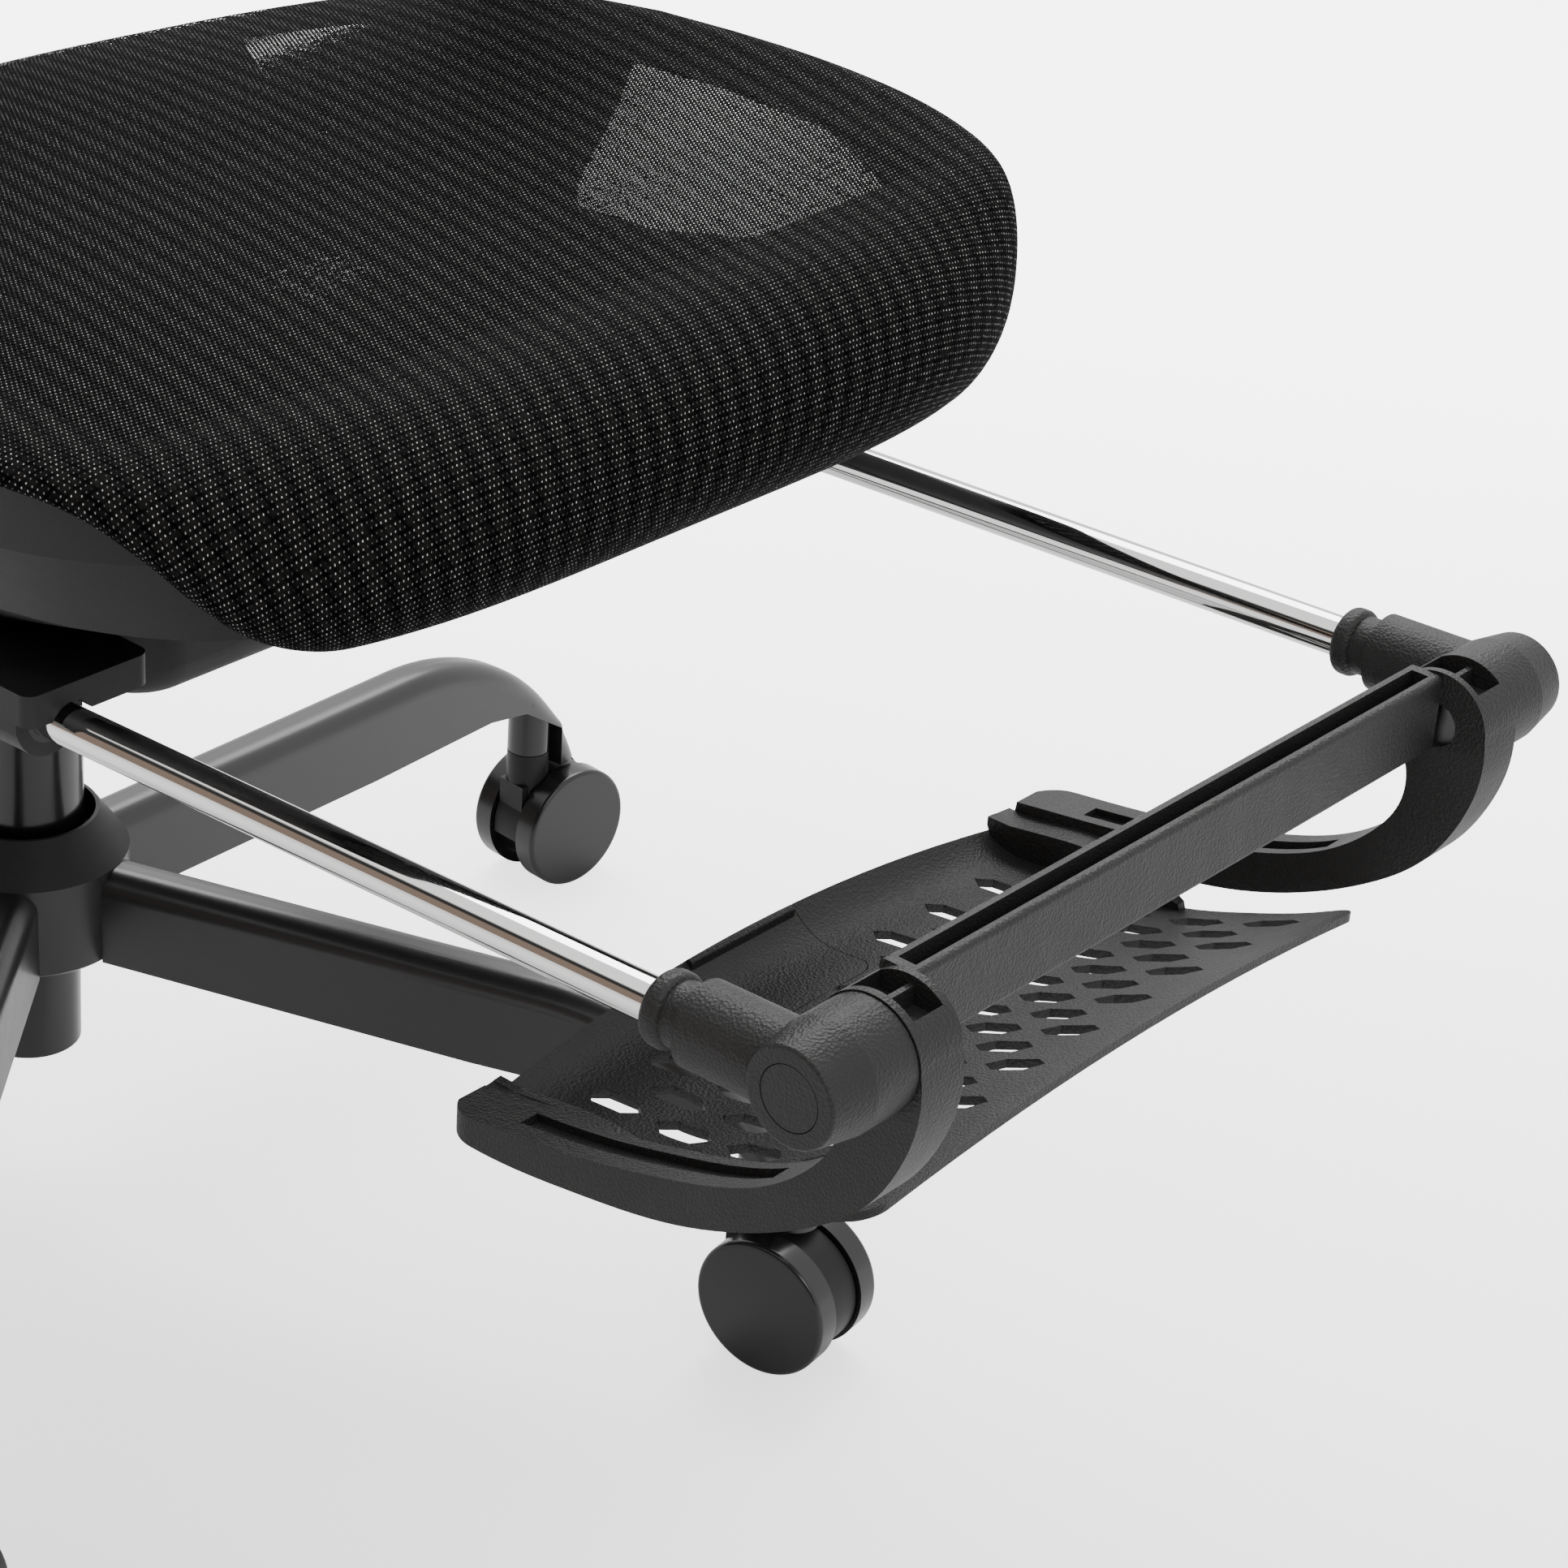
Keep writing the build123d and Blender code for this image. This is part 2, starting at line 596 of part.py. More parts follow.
def footrest_link(side):
    outer = Spline(*[(0, y, z) for y, z in link_outer()])
    inner = Spline(*[(0, y, z) for y, z in link_inner()])
    face = make_face([outer, Line(outer @ 1, inner @ 0), inner, Line(inner @ 1, outer @ 0)])
    x0, x1 = sorted((side * LINK_IN, side * LINK_OUT))
    body = prism_x(face, x0, x1)
    body += cross_rod(x0, x1, PIVOT_Y, PIVOT_Z, LINK_RING_R)
    groove = strip_face(shifted(link_inner()[1:6], -LINK_GROOVE), 10)
    body -= prism_x(groove, *sorted((side * 149.5, side * 157.5)))
    body -= cross_rod(x0 - 1, x1 + 1, PIVOT_Y, PIVOT_Z, PIN_R + RUN_GAP)
    window = block(*sorted((side * 148, side * 162)), PIVOT_Y - 13, PIVOT_Y + 11, PIVOT_Z + 10.5, PIVOT_Z + 30)
    rib = block(*sorted((side * 148, side * 162)), PIVOT_Y - 2, PIVOT_Y, PIVOT_Z + 10.5, PIVOT_Z + 17)
    body -= window - rib
    keep = block(x0, x1, -700, link_outer()[-1][0] + 0.5, 200, 500)
    tip = keep.edges().filter_by(Axis.Z).group_by(Axis.Y)[-1].sort_by(Axis.X)
    return body & fillet(tip[0] if side < 0 else tip[-1], LINK_TIP_R)


def crossbar():
    y0, y1 = BAR_Y - BAR_W / 2, BAR_Y + BAR_W / 2
    body = block(-LINK_IN, LINK_IN, y0, y1, BAR_LOW, BAR_HIGH)
    body = fillet(body.edges().filter_by(Axis.X), 2.2)
    return body - block(-LINK_IN + 4, LINK_IN - 4, y0 + 3.6, y1 - 3.6, BAR_LOW + 6, BAR_HIGH + 1)


def pad_levels():
    """Upper side of the pad's untrimmed floor as (y, z at its sides, rise of its middle), front to rear."""
    return [(PAD_FRONT - PAD_SPARE, 312, 9), (-556, 305.5, 9), (-536, 296, 9), (-516, 288, 8.5), (-497, 281.5, 8), (-475, 277, 7),
            (-450, 274.5, 5.5), (-425, 273.5, 3.5), (-410, 276, 2.5), (-403, 281, 2), (PAD_REAR + PAD_SPARE, 286, 2)]


def pad_section(y, z, rise):
    half = PAD_HALF + PAD_SPARE
    top = ThreePointArc((-half, y, z), (0, y, z + rise), (half, y, z))
    low = ThreePointArc((-half, y, z - PAD_T), (0, y, z + rise - PAD_T), (half, y, z - PAD_T))
    return make_face([top, Line(top @ 1, low @ 1), low, Line(low @ 0, top @ 0)])


def pad_floor():
    return loft([pad_section(*level) for level in pad_levels()])


def pad_rim():
    """Crest of the pad's raised side edges, which lie along the links."""
    return [(PAD_TAPER_FRONT, 284), (-480, 287.5), (-462, 290), (-438, 288.5), (-416, 285), (-404, 285)]


def pad_side(side):
    """Side wall and top flange of the pad, inside one link."""
    crest = pad_rim()
    floor = [(y, z - PAD_T) for y, z, _ in pad_levels() if crest[0][0] - 5 <= y <= crest[-1][0]]
    wall = prism_x(side_face(crest + floor[::-1]), *sorted((side * (PAD_HALF - 4), side * PAD_HALF)))
    flange = prism_x(strip_face(crest, 3), *sorted((side * (PAD_HALF - 4), side * PAD_REACH)))
    return wall + flange


def hexagon_holes():
    """Staggered rows of hexagons, long from front to rear, with a gap in the last row for the pull."""
    cutters = []
    half_l, half_w, shoulder = HOLE_LONG / 2, HOLE_WIDE / 2, HOLE_LONG / 2 - HOLE_SHOULDER
    for row in range(HOLE_ROWS):
        y = HOLE_FIRST_Y + HOLE_PITCH_Y * row
        shift = HOLE_PITCH_X / 2 if row % 2 else 0.0
        for column in range(-4, 5):
            x = column * HOLE_PITCH_X + shift
            under_pull = row == HOLE_ROWS - 1 and abs(x) < HOLE_PITCH_X
            if under_pull or abs(x) > PAD_HALF - HOLE_MARGIN:
                continue
            outline = [(x, y - half_l), (x + half_w, y - shoulder), (x + half_w, y + shoulder), (x, y + half_l),
                       (x - half_w, y + shoulder), (x - half_w, y - shoulder)]
            face = make_face(Polyline(*[(u, v, 250) for u, v in outline], close=True))
            cutters.append(extrude(face, 80))
    return cutters


def pad_outline():
    """Plan of the pad: a bowed rear edge, tips that reach the links, and a narrower straight front."""
    tip_y = PAD_REAR - PAD_BOW
    rear = ThreePointArc((-PAD_REACH, tip_y, 0), (0, PAD_REAR, 0), (PAD_REACH, tip_y, 0))
    half = [(PAD_REACH, tip_y, 0), (PAD_REACH, PAD_TAPER_REAR, 0), (PAD_HALF, PAD_TAPER_FRONT, 0), (PAD_HALF, PAD_FRONT, 0)]
    face = make_face([rear, Polyline(*half, *[(-x, y, z) for x, y, z in half[::-1]])])
    return fillet(face.vertices().sort_by(Axis.Y)[:2], PAD_CORNER_R)


def pull_seat(gap):
    """Rounded column through the pad's rear middle that the pull's plate fills, smaller all round by gap."""
    half = PULL_HALF - gap
    seat = block(PULL_X - half, PULL_X + half, PULL_FRONT + gap, PAD_REAR + 20, 250, 320)
    return fillet(seat.edges().filter_by(Axis.Z), 9)


def footrest_pad():
    body = pad_floor()
    for side in (-1, 1):
        body += pad_side(side)
    body &= extrude(pad_outline(), 400, dir=(0, 0, 1))
    body -= pull_seat(0)
    return body - hexagon_holes()


def pad_pull():
    """Plate let into the middle of the pad's rear edge, with an upright grip along that edge."""
    plate = pad_floor() & pull_seat(0.3)
    plate &= extrude(pad_outline(), 400, dir=(0, 0, 1))
    grip = block(PULL_X - PULL_GRIP_HALF, PULL_X + PULL_GRIP_HALF, PAD_REAR - 3.6, PAD_REAR - 0.6, 279, PULL_GRIP_TOP)
    return plate + fillet(grip.edges().filter_by(Axis.X), 1.2)


# ---------------------------------------------------------------- backrest
def back_profile():
    """Front side of the backrest as (y, z) points, bottom to top."""
    return [(172, BACK_LOW - 10), (158, 620), (150, 700), (158, 800), (182, 900), (214, 1000), (228, BACK_HIGH + 10)]


def back_outline(inset):
    return superellipse(BACK_HALF_W - inset, BACK_LOW + inset, BACK_HIGH - inset, BACK_POWER)


def back_column_of(inset):
    return extrude(front_face(back_outline(inset), 60), 260, dir=(0, 1, 0))


def back_frame():
    strip = prism_x(strip_face(back_profile(), 20), -BACK_HALF_W, BACK_HALF_W)
    body = (strip & back_column_of(0)) - back_column_of(BACK_RIM)
    yoke = prism_x(strip_face(shifted(back_profile(), 14)[0:4], 14), -34, 34)
    yoke &= block(-34, 34, 100, 300, BACK_LOW + 8, 790)
    rung = prism_x(strip_face(shifted(back_profile(), 14)[2:4], 12), -BACK_HALF_W, BACK_HALF_W)
    rung &= block(-300, 300, 100, 300, 748, 778)
    rung &= back_column_of(1)
    return body + yoke + rung


def back_mesh():
    inner = shifted(back_profile(), 3)
    strip = prism_x(strip_face(inner, 4), -BACK_HALF_W, BACK_HALF_W)
    return strip & back_column_of(BACK_RIM + 0.1)


def back_bar():
    """Cranked bar from the tilt pivot, out behind the seat and up to the back frame."""
    path = [(BACK_PIVOT_Y, BACK_PIVOT_Z + 8), (150, 363), (205, 385), (228, 440), (228, 520), (219, 600), (214, 680)]
    body = prism_x(strip_face(path, 22), -30, 30)
    ear = cross_rod(-40, 40, BACK_PIVOT_Y, BACK_PIVOT_Z, 15)
    body += ear + block(-30, 30, BACK_PIVOT_Y, BACK_PIVOT_Y + 40, BACK_PIVOT_Z - 14, BACK_PIVOT_Z + 4)
    body -= back_keepout()
    return body - cross_rod(-50, 50, BACK_PIVOT_Y, BACK_PIVOT_Z, PIVOT_PIN_R + RUN_GAP)


def back_keepout():
    """Space that the back frame fills, so that the bar ends against its yoke."""
    front = shifted(back_profile(), 28)
    outline = [(-100, front[0][1] - 60)] + front + [(-100, front[-1][1])]
    return prism_x(side_face(outline), -60, 60)


def lumbar_pad():
    strip = prism_x(strip_face(shifted(back_profile(), 9)[1:4], 4.5), -95, 95)
    body = strip & extrude(front_face(superellipse(95, 630, 715, 3.0), 60), 260, dir=(0, 1, 0))
    return body


# ---------------------------------------------------------------- armrests
def armrest_bracket(side):
    """Flat foot under the seat shell with an upright sleeve at its end."""
    foot = block(*sorted((side * 96, side * (ARMREST_X + 14))), ARMREST_Y - 26, ARMREST_Y + 26, 381, 391.8)
    foot = fillet(foot.edges().filter_by(Axis.Z), 8)
    sleeve = block(*sorted((side * (ARMREST_X - 15), side * (ARMREST_X + 15))), ARMREST_Y - 26, ARMREST_Y + 26, 381, 560)
    sleeve = fillet(sleeve.edges().filter_by(Axis.Z), 8)
    bore = block(*sorted((side * (ARMREST_X - 9), side * (ARMREST_X + 9))), ARMREST_Y - 19, ARMREST_Y + 19, 400, 561)
    return foot + sleeve - bore


def armrest_post(side):
    post = block(*sorted((side * (ARMREST_X - 8.7), side * (ARMREST_X + 8.7))), ARMREST_Y - 18.7, ARMREST_Y + 18.7,
                 430, ARMREST_PAD_TOP - 32)
    plate = block(*sorted((side * (ARMREST_X - 30), side * (ARMREST_X + 30))), ARMREST_Y - 75, ARMREST_Y + 75,
                  ARMREST_PAD_TOP - 34, ARMREST_PAD_TOP - 26)
    return post + fillet(plate.edges().filter_by(Axis.Z), 12)


def armrest_pad(side):
    low = ARMREST_PAD_TOP - 26
    pad = block(*sorted((side * (ARMREST_X - 46), side * (ARMREST_X + 46))), ARMREST_Y - 130, ARMREST_Y + 120,
                low, ARMREST_PAD_TOP)
    pad = fillet(pad.edges().filter_by(Axis.Z), 30)
    return fillet(pad.edges().group_by(Axis.Z)[-1], 8)


# ---------------------------------------------------------------- write the parts
SIDES = (("right", -1), ("left", 1))


def build_base():
    save("base_hub", base_hub())
    save("hub_cover", hub_cover())
    save("stem_sockets", stem_sockets())
    save("column_tube", column_tube())
    save("column_bushing", column_bushing())
    save("thrust_bearing", thrust_bearing())
    save("piston_rod", piston_rod())
    for index in range(ARM_COUNT):
        save(f"base_arm_{index + 1}", base_arm(index))
        save(f"caster_frame_{index + 1}", caster_frame(index))
        save(f"caster_wheels_{index + 1}", caster_wheels(index))


def build_seat():
    save("gas_cylinder", gas_cylinder())
    save("release_pin", release_pin())
    save("tilt_housing", tilt_housing())
    save("tilt_plate", tilt_plate())
    save("front_tray", front_tray())
    save("tension_spring", tension_spring())
    save("tension_knob", tension_knob())
    save("height_lever", height_lever())
    save("lock_lever", lever(1, LOCK_LEVER_Y))
    save("back_pivot_shaft", back_pivot_shaft())
    save("seat_shell", seat_shell())
    save("seat_mesh", seat_mesh())
    save("seat_bolts", seat_bolts())
    save("guide_screws", guide_screws())
    save("guide_bushings", guide_bushings())
    for name, side in SIDES:
        save(f"rod_guide_{name}", rod_guide(side))


def build_footrest():
    save("elbow_caps", elbow_caps())
    save("pivot_pins", pivot_pins())
    save("footrest_crossbar", crossbar())
    save("footrest_pad", footrest_pad())
    save("pad_pull", pad_pull())
    for name, side in SIDES:
        save(f"footrest_rod_{name}", footrest_rod(side))
        save(f"elbow_{name}", elbow(side))
        save(f"footrest_link_{name}", footrest_link(side))


def build_upper():
    save("back_bar", back_bar())
    save("back_frame", back_frame())
    save("back_mesh", back_mesh())
    save("lumbar_pad", lumbar_pad())
    for name, side in SIDES:
        save(f"armrest_bracket_{name}", armrest_bracket(side))
        save(f"armrest_post_{name}", armrest_post(side))
        save(f"armrest_pad_{name}", armrest_pad(side))


os.makedirs("parts", exist_ok=True)
build_base()
build_seat()
build_footrest()
build_upper()
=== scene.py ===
import json
import math

import bpy
from mathutils import Matrix, Vector


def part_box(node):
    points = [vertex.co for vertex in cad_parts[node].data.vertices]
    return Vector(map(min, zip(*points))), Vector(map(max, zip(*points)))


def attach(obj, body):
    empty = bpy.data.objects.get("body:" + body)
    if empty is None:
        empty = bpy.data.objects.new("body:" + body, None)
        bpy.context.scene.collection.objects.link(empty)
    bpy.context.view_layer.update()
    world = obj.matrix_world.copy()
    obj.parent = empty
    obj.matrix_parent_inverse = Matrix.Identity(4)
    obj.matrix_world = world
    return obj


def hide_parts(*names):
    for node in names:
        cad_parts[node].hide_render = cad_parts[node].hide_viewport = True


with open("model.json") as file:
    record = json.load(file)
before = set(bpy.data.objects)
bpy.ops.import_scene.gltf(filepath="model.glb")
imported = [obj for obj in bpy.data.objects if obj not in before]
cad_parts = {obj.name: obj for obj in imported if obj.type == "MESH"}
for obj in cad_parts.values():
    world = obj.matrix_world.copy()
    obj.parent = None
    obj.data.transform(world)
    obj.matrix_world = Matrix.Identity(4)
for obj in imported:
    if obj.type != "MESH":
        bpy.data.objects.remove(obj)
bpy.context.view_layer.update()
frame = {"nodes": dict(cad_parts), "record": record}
NODES = frame["nodes"]
COLORS = {m["slot"]: m["base_color"] for m in frame["record"]["materials"]}
DEEPEN = 0.3  # share of a slot's colour that is left in plastics and paints, under the bright studio


# ------------------------------------------------------------ materials
class Shader:
    """A material's node tree with short calls for the nodes used here."""

    def __init__(self, name, color, roughness, **constants):
        self.material = bpy.data.materials.new(name)
        self.material.use_nodes = True
        self.tree = self.material.node_tree
        self.bsdf = self.tree.nodes["Principled BSDF"]
        self.set("Base Color", (*color[:3], 1.0))
        self.set("Roughness", roughness)
        for key, value in constants.items():
            self.set(key.replace("_", " "), value)

    def set(self, socket, value):
        self.bsdf.inputs[socket].default_value = value

    def node(self, kind, **settings):
        made = self.tree.nodes.new(kind)
        for key, value in settings.items():
            if key in made.inputs:
                made.inputs[key].default_value = value
            else:
                setattr(made, key, value)
        return made

    def link(self, out, into):
        self.tree.links.new(out, into)

    def coords(self, kind="Object"):
        return self.node("ShaderNodeTexCoord").outputs[kind]

    def noise(self, scale, detail=4.0, source=None):
        made = self.node("ShaderNodeTexNoise", Scale=scale, Detail=detail)
        self.link(source or self.coords(), made.inputs["Vector"])
        return made.outputs["Fac"]

    def cells(self, scale, feature="F1"):
        made = self.node("ShaderNodeTexVoronoi", Scale=scale, feature=feature)
        self.link(self.coords(), made.inputs["Vector"])
        return made.outputs["Distance"]

    def math(self, operation, a, b=0.0, c=0.0):
        made = self.node("ShaderNodeMath", operation=operation)
        for i, value in enumerate((a, b, c)):
            if isinstance(value, (int, float)):
                made.inputs[i].default_value = value
            else:
                self.link(value, made.inputs[i])
        return made.outputs[0]

    def ramp(self, fac, stops):
        made = self.node("ShaderNodeValToRGB")
        made.color_ramp.elements[0].position = stops[0][0]
        made.color_ramp.elements[-1].position = stops[-1][0]
        for position, _ in stops[1:-1]:
            made.color_ramp.elements.new(position)
        for element, (_, color) in zip(made.color_ramp.elements, stops):
            element.color = (*color[:3], 1.0)
        self.link(fac, made.inputs["Fac"])
        return made.outputs["Color"]

    def bump(self, height, strength, distance):
        made = self.node("ShaderNodeBump", Strength=strength, Distance=distance)
        self.link(height, made.inputs["Height"])
        if self.bsdf.inputs["Normal"].links:
            self.link(self.bsdf.inputs["Normal"].links[0].from_socket, made.inputs["Normal"])
        self.link(made.outputs["Normal"], self.bsdf.inputs["Normal"])


def shade(color, factor):
    return tuple(min(1.0, c * factor) for c in color[:3])


def varied(shader, color, low, high, scale):
    """A slow change of tone, as moulded or painted surfaces have."""
    stops = [(0.3, shade(color, low)), (0.7, shade(color, high))]
    shader.link(shader.ramp(shader.noise(scale, 3.0), stops), shader.bsdf.inputs["Base Color"])


def rough_range(shader, low, high, scale):
    value = shader.math("MULTIPLY_ADD", shader.noise(scale, 5.0), high - low, low)
    shader.link(value, shader.bsdf.inputs["Roughness"])


def grained_plastic(name, slot):
    color = shade(COLORS[slot], DEEPEN)
    s = Shader(name, color, 0.5, Specular_IOR_Level=0.3)
    varied(s, color, 0.85, 1.15, 25)
    rough_range(s, 0.44, 0.56, 60)
    s.bump(s.cells(900), 0.45, 0.0006)
    s.bump(s.noise(2400, 2.0), 0.15, 0.0003)
    return s.material


def moulded_plastic(name, slot, rough=0.5, grain=1800, depth=0.2):
    color = shade(COLORS[slot], DEEPEN)
    s = Shader(name, color, rough, Specular_IOR_Level=0.22)
    varied(s, color, 0.88, 1.12, 20)
    rough_range(s, rough - 0.05, rough + 0.05, 80)
    s.bump(s.noise(grain, 3.0), depth, 0.0003)
    return s.material


def gloss_plastic(name, slot, rough=0.14):
    color = shade(COLORS[slot], DEEPEN)
    s = Shader(name, color, rough)
    rough_range(s, rough * 0.8, rough * 1.3, 120)
    s.bump(s.noise(60, 2.0), 0.03, 0.0005)
    return s.material


def painted_steel(name, slot, rough=0.32, peel=0.06):
    color = shade(COLORS[slot], DEEPEN)
    s = Shader(name, color, rough, Coat_Weight=0.25, Coat_Roughness=0.2)
    varied(s, color, 0.92, 1.08, 12)
    rough_range(s, rough - 0.04, rough + 0.05, 150)
    s.bump(s.noise(900, 2.0), peel, 0.0003)
    return s.material


def bright_metal(name, slot, rough, streak=0.0):
    color = COLORS[slot]
    s = Shader(name, color, rough, Metallic=1.0)
    rough_range(s, rough * 0.7, rough * 1.4, 90)
    if streak:
        s.bump(s.noise(streak, 2.0), 0.05, 0.0002)
    return s.material


def repaint(node, material):
    mesh = NODES[node].data
    mesh.materials.clear()
    mesh.materials.append(material)
    for polygon in mesh.polygons:
        polygon.material_index = 0


# ------------------------------------------------------------ camera and studio
CAMERA_HEADING = 0.6718
CAMERA_PITCH = 0.4904
CAMERA_ROLL = 0.0754
CAMERA_LENS = 92.03
CAMERA_PLACE = (-0.9671, -1.1805, 1.0094)
FLOOR_HALF = 12.0
# the floor's own glow, in light per metre along the floor: brighter toward +X and +Y
GLOW_ALONG_X = 1.9
GLOW_ALONG_Y = 0.95
GLOW_MIDDLE = 1.7
GLOW_LOW = 0.3
GLOW_HIGH = 4.2
WORLD_STRENGTH = 1.45


def build_camera():
    """The photograph's viewpoint: heading and pitch of the view, and a small roll."""
    ahead = Vector((math.cos(CAMERA_HEADING), math.sin(CAMERA_HEADING), 0.0))
    forward = math.cos(CAMERA_PITCH) * ahead - Vector((0.0, 0.0, math.sin(CAMERA_PITCH)))
    level = Vector((ahead.y, -ahead.x, 0.0))
    over = level.cross(forward)
    right = math.cos(CAMERA_ROLL) * level + math.sin(CAMERA_ROLL) * over
    up = -math.sin(CAMERA_ROLL) * level + math.cos(CAMERA_ROLL) * over
    data = bpy.data.cameras.new("camera")
    data.sensor_width = 36.0
    data.lens = CAMERA_LENS
    data.clip_start, data.clip_end = 0.05, 100.0
    camera = bpy.data.objects.new("camera", data)
    bpy.context.scene.collection.objects.link(camera)
    turn = Matrix((right, up, -forward)).transposed().to_4x4()
    camera.matrix_world = Matrix.Translation(CAMERA_PLACE) @ turn
    bpy.context.scene.camera = camera


def area_light(name, place, aim, size, power, color=(1, 1, 1)):
    data = bpy.data.lights.new(name, "AREA")
    data.shape = "RECTANGLE"
    data.size, data.size_y = size
    data.energy = power
    data.color = color
    lamp = bpy.data.objects.new(name, data)
    bpy.context.scene.collection.objects.link(lamp)
    lamp.location = place
    lamp.rotation_mode = "QUATERNION"
    lamp.rotation_quaternion = (Vector(aim) - Vector(place)).to_track_quat("-Z", "Y")


def build_studio():
    floor_mesh = bpy.data.meshes.new("studio_floor")
    corners = [(FLOOR_HALF * i, FLOOR_HALF * j, 0) for i, j in ((-1, -1), (1, -1), (1, 1), (-1, 1))]
    floor_mesh.from_pydata(corners, [], [(0, 1, 2, 3)])
    floor = bpy.data.objects.new("studio_floor", floor_mesh)
    bpy.context.scene.collection.objects.link(floor)
    s = Shader("studio_floor", (0.86, 0.86, 0.865), 0.6)
    place = s.node("ShaderNodeSeparateXYZ")
    s.link(s.coords(), place.inputs[0])
    glow = s.math("MULTIPLY_ADD", place.outputs["Y"], GLOW_ALONG_Y, GLOW_MIDDLE)
    glow = s.math("MULTIPLY_ADD", place.outputs["X"], GLOW_ALONG_X, glow)
    glow = s.math("MAXIMUM", GLOW_LOW, s.math("MINIMUM", GLOW_HIGH, glow))
    seen = s.node("ShaderNodeLightPath").outputs["Is Camera Ray"]
    s.link(s.math("MULTIPLY", glow, seen), s.bsdf.inputs["Emission Strength"])
    s.set("Emission Color", (1.0, 1.0, 0.995, 1.0))
    floor_mesh.materials.append(s.material)

    build_world()
    area_light("key", (1.6, 1.2, 2.6), (0, -0.2, 0.3), (2.6, 1.6), 95)
    area_light("fill", (-1.0, -2.4, 2.2), (0, -0.3, 0.3), (1.6, 1.6), 26)


def build_world():
    """A white studio above and behind the chair, with a warm dark wall low on the -X side."""
    world = bpy.data.worlds.new("studio")
    bpy.context.scene.world = world
    world.use_nodes = True
    tree = world.node_tree
    background = tree.nodes["Background"]
    background.inputs["Strength"].default_value = WORLD_STRENGTH
    split = tree.nodes.new("ShaderNodeSeparateXYZ")
    tree.links.new(tree.nodes.new("ShaderNodeTexCoord").outputs["Generated"], split.inputs[0])

    def ramp(source, stops):
        made = tree.nodes.new("ShaderNodeValToRGB")
        for _ in stops[2:]:
            made.color_ramp.elements.new(0.5)
        for element, (position, color) in zip(made.color_ramp.elements, stops):
            element.position = position
            element.color = (*color, 1)
        tree.links.new(source, made.inputs["Fac"])
        return made.outputs["Color"]

    white, wall, dark = (1.0, 1.0, 1.0), (0.20, 0.15, 0.12), (0.03, 0.03, 0.03)
    sky = ramp(split.outputs["Z"], [(0.0, (0.9, 0.9, 0.9)), (1.0, white)])
    bands = [(0.0, wall), (0.34, wall), (0.40, dark), (0.52, dark), (0.60, white)]
    room = ramp(split.outputs["Z"], bands)
    back = tree.nodes.new("ShaderNodeMath")
    back.operation = "MULTIPLY_ADD"
    back.inputs[1].default_value, back.inputs[2].default_value = 4.0, 1.8
    tree.links.new(split.outputs["X"], back.inputs[0])
    back.use_clamp = True
    mix = tree.nodes.new("ShaderNodeMix")
    mix.data_type = "RGBA"
    tree.links.new(back.outputs[0], mix.inputs["Factor"])
    tree.links.new(room, mix.inputs[6])
    tree.links.new(sky, mix.inputs[7])
    tree.links.new(mix.outputs[2], background.inputs["Color"])


# ------------------------------------------------------------ finishes of the CAD nodes
def finish_nodes():
    finishes = {
        "base_steel": painted_steel("base_powder_coat", "base_steel", 0.36, 0.08),
        "dark_plastic": moulded_plastic("dark_moulded_plastic", "dark_plastic"),
        "column_gloss": painted_steel("column_gloss_black", "column_gloss", 0.16, 0.02),
        "caster_plastic": moulded_plastic("caster_hood_plastic", "caster_plastic", 0.45),
        "caster_tread": gloss_plastic("caster_wheel_plastic", "caster_tread", 0.22),
        "collar_gloss": gloss_plastic("collar_gloss_plastic", "collar_gloss"),
        "bushing_plastic": gloss_plastic("bushing_plastic", "bushing_plastic", 0.3),
        "plain_steel": bright_metal("zinc_plated_steel", "plain_steel", 0.32, 700),
        "cylinder_chrome": bright_metal("cylinder_chrome", "cylinder_chrome", 0.12),
        "rod_chrome": bright_metal("rod_chrome", "rod_chrome", 0.05),
        "shell_plastic": moulded_plastic("shell_plastic", "shell_plastic", 0.48, 1500, 0.25),
        "lever_plastic": moulded_plastic("lever_plastic", "lever_plastic", 0.4),
        "grained_plastic": grained_plastic("leather_grain_plastic", "grained_plastic"),
        "seat_mesh_cloth": moulded_plastic("seat_cloth_plain", "seat_mesh_cloth", 0.8),
        "back_mesh_cloth": moulded_plastic("back_cloth_plain", "back_mesh_cloth", 0.8),
        "soft_pad": moulded_plastic("soft_pad", "soft_pad", 0.62, 900, 0.3),
        "post_steel": painted_steel("post_steel", "post_steel", 0.38),
    }
    for part in frame["record"]["subparts"]:
        repaint(part["node"], finishes[part["material_slot"]])


# ------------------------------------------------------------ woven sheets
STITCH = 0.0021
RIB_STEP = 0.011
RIB_ALONG_U = 0.96
RIB_ALONG_V = -0.28
ROW_SLANT = 0.28
YARN_SHADE = 0.14
YARN_WARMTH = (1.05, 1.0, 0.86)
# painted highlight: the grey of the glints painted into the weave's base colour
PAINTED_GLINT_COLOR = (0.46, 0.46, 0.47, 1)
CLOTH_THICKNESS = 0.0012
HOLE_REACH_X = 0.205
HOLE_FRONT_Y = -0.30


